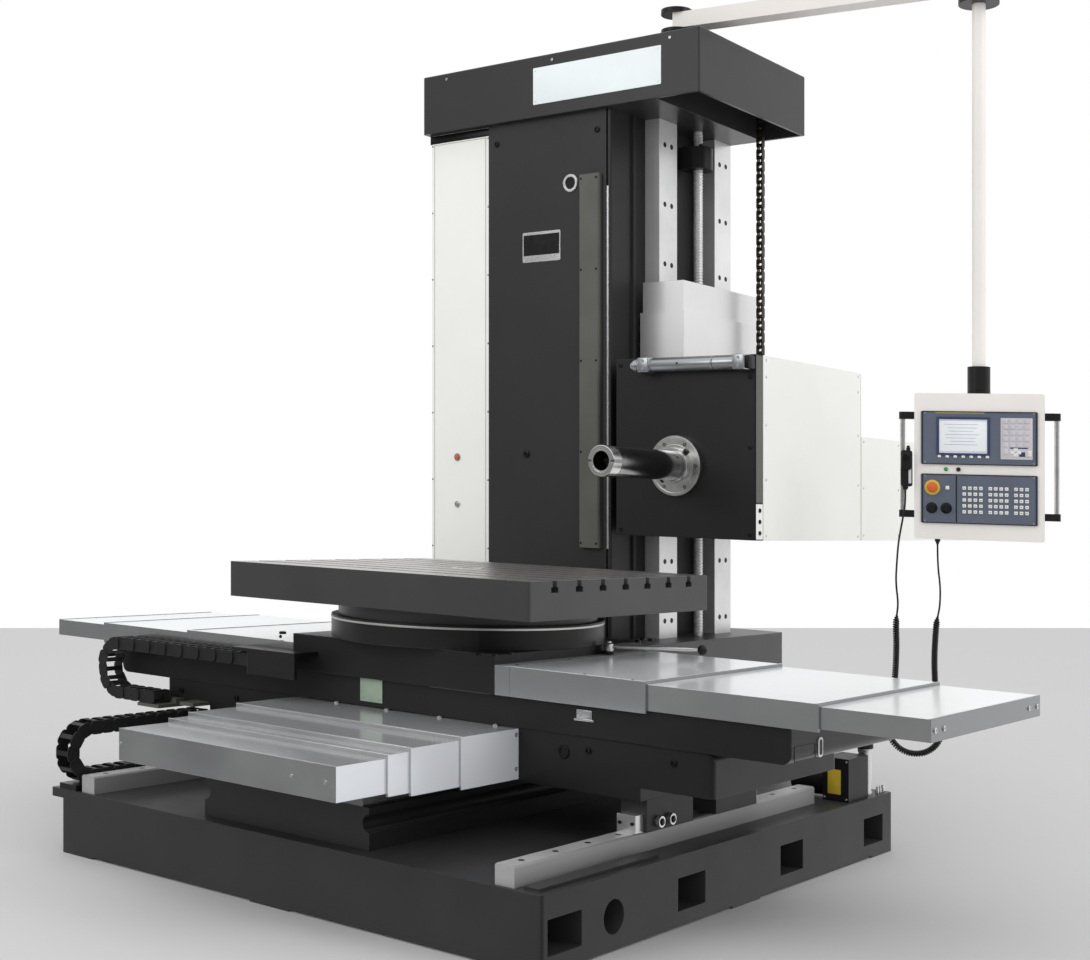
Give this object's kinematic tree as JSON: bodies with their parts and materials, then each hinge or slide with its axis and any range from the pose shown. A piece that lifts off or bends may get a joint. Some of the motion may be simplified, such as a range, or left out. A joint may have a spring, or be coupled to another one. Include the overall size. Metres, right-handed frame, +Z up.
{
  "type": "horizontal boring mill",
  "caption": "Table-type horizontal boring mill: fixed column with a sliding headstock and boring spindle, cross-sliding rotary table, telescopic covers and a control pendant on a swing arm.",
  "frame": {"origin": "on the floor under the spindle axis, in the plane of the headstock's front face", "axes": "+X along the cross beam to the operator's side, +Y along the spindle towards the back, +Z up"},
  "size_m": [3.668, 3.881, 3.193],
  "materials": {
    "casting": "satin",
    "cap_paint": "satin",
    "white_sheet": "satin",
    "ground_steel": "ground",
    "bright_sheet": "brushed",
    "table_iron": "planed",
    "dark_steel": "oiled",
    "nose_steel": "turned",
    "chain_plastic": "matte",
    "black_plastic": "matte",
    "panel_plastic": "matte",
    "grey_paint": "satin",
    "light_paint": "satin",
    "cord": "matte",
    "chain_steel": "oiled"
  },
  "bodies": {
    "base": {"bed": "casting", "raised_bed": "casting", "saddle_ways": "ground_steel", "outrigger_rails": "ground_steel", "column_base": "casting", "column": "casting", "column_guides": "ground_steel", "counterweight_housing": "white_sheet", "scale_guard": "grey_paint", "scale_strip": "nose_steel", "column_cap": "cap_paint", "head_screw": "ground_steel", "screw_bearing": "casting", "counterweight_chain": "chain_steel", "front_cover_1": "bright_sheet", "saddle_cable_chain": "chain_plastic", "saddle_chain_tray": "bright_sheet", "feed_motor": "black_plastic", "oil_filter": "grey_paint", "arm_pivot": "casting"},
    "front_section_2": {"front_cover_2": "bright_sheet"},
    "front_section_3": {"front_cover_3": "bright_sheet"},
    "saddle": {"saddle": "casting", "outrigger_shoes": "casting", "rail_fittings": "nose_steel", "cross_beam": "casting", "cross_ways": "ground_steel", "cross_cable_chain": "chain_plastic", "saddle_brackets": "grey_paint", "front_cover_4": "bright_sheet", "end_covers": "bright_sheet"},
    "table_slide": {"table_slide": "casting", "slide_covers": "bright_sheet", "cross_chain_arm": "grey_paint"},
    "right_section": {"right_cover": "bright_sheet"},
    "left_section": {"left_cover": "bright_sheet"},
    "clamp_lever": {"clamp_lever": "nose_steel"},
    "table": {"rotary_table": "table_iron"},
    "headstock": {"headstock": "casting", "headstock_cover": "white_sheet", "spindle_tail_cover": "white_sheet", "way_guard": "bright_sheet", "chain_anchor": "dark_steel", "work_lamp": "nose_steel"},
    "milling_spindle": {"milling_spindle": "nose_steel"},
    "boring_spindle": {"boring_spindle": "dark_steel"},
    "arm": {"swing_arm": "light_paint", "arm_fittings": "casting", "arm_pole": "light_paint"},
    "pendant": {"pendant_box": "light_paint", "pendant_coupling": "casting", "pendant_panels": "panel_plastic", "pendant_handles": "nose_steel", "handle_brackets": "black_plastic", "hand_unit": "black_plastic", "cord_gland": "black_plastic", "cord_pendant_lead": "cord", "cord_curl": "cord", "cord_hand_lead": "cord"}
  },
  "joints": [
    {"name": "saddle_slide", "type": "slide", "parent": "base", "child": "saddle", "axis": [0, 1, 0], "range_m": [-0.4, 0.29]},
    {"name": "front_section_2_slide", "type": "slide", "parent": "base", "child": "front_section_2", "axis": [0, 1, 0], "range_m": [-0.188, 0.1363]},
    {"name": "front_section_3_slide", "type": "slide", "parent": "base", "child": "front_section_3", "axis": [0, 1, 0], "range_m": [-0.264, 0.1914]},
    {"name": "table_slide", "type": "slide", "parent": "saddle", "child": "table_slide", "axis": [1, 0, 0], "range_m": [-0.45, 0.45]},
    {"name": "right_section_slide", "type": "slide", "parent": "saddle", "child": "right_section", "axis": [1, 0, 0], "range_m": [-0.225, 0.225]},
    {"name": "left_section_slide", "type": "slide", "parent": "saddle", "child": "left_section", "axis": [1, 0, 0], "range_m": [-0.225, 0.225]},
    {"name": "lever_hinge", "type": "hinge", "parent": "table_slide", "child": "clamp_lever", "pos_m": [0.135, -0.641, 0.735], "axis": [0, 0, 1], "range_deg": [-25, 25]},
    {"name": "table_turn", "type": "hinge", "parent": "table_slide", "child": "table", "pos_m": [-0.336, -0.814, 0.825], "axis": [0, 0, 1], "continuous": true},
    {"name": "headstock_slide", "type": "slide", "parent": "base", "child": "headstock", "axis": [0, 0, 1], "range_m": [-0.32, 0.58], "deforming": ["counterweight_chain"]},
    {"name": "spindle_turn", "type": "hinge", "parent": "headstock", "child": "milling_spindle", "pos_m": [0, 0, 1.375], "axis": [0, 1, 0], "continuous": true},
    {"name": "spindle_feed", "type": "slide", "parent": "milling_spindle", "child": "boring_spindle", "axis": [0, 1, 0], "range_m": [-0.15, 0.45]},
    {"name": "arm_swing", "type": "hinge", "parent": "base", "child": "arm", "pos_m": [-0.2, 0.3, 3.1], "axis": [0, 0, 1], "range_deg": [-20, 35]},
    {"name": "pendant_swivel", "type": "hinge", "parent": "arm", "child": "pendant", "pos_m": [0.98168, 0.46397, 1.75], "axis": [0, 0, 1], "range_deg": [-60, 60]}
  ],
  "couplings": [
    {"joint": "front_section_2_slide", "follows": "saddle_slide", "ratio": 0.47},
    {"joint": "front_section_3_slide", "follows": "saddle_slide", "ratio": 0.66},
    {"joint": "right_section_slide", "follows": "table_slide", "ratio": 0.5},
    {"joint": "left_section_slide", "follows": "table_slide", "ratio": 0.5}
  ]
}
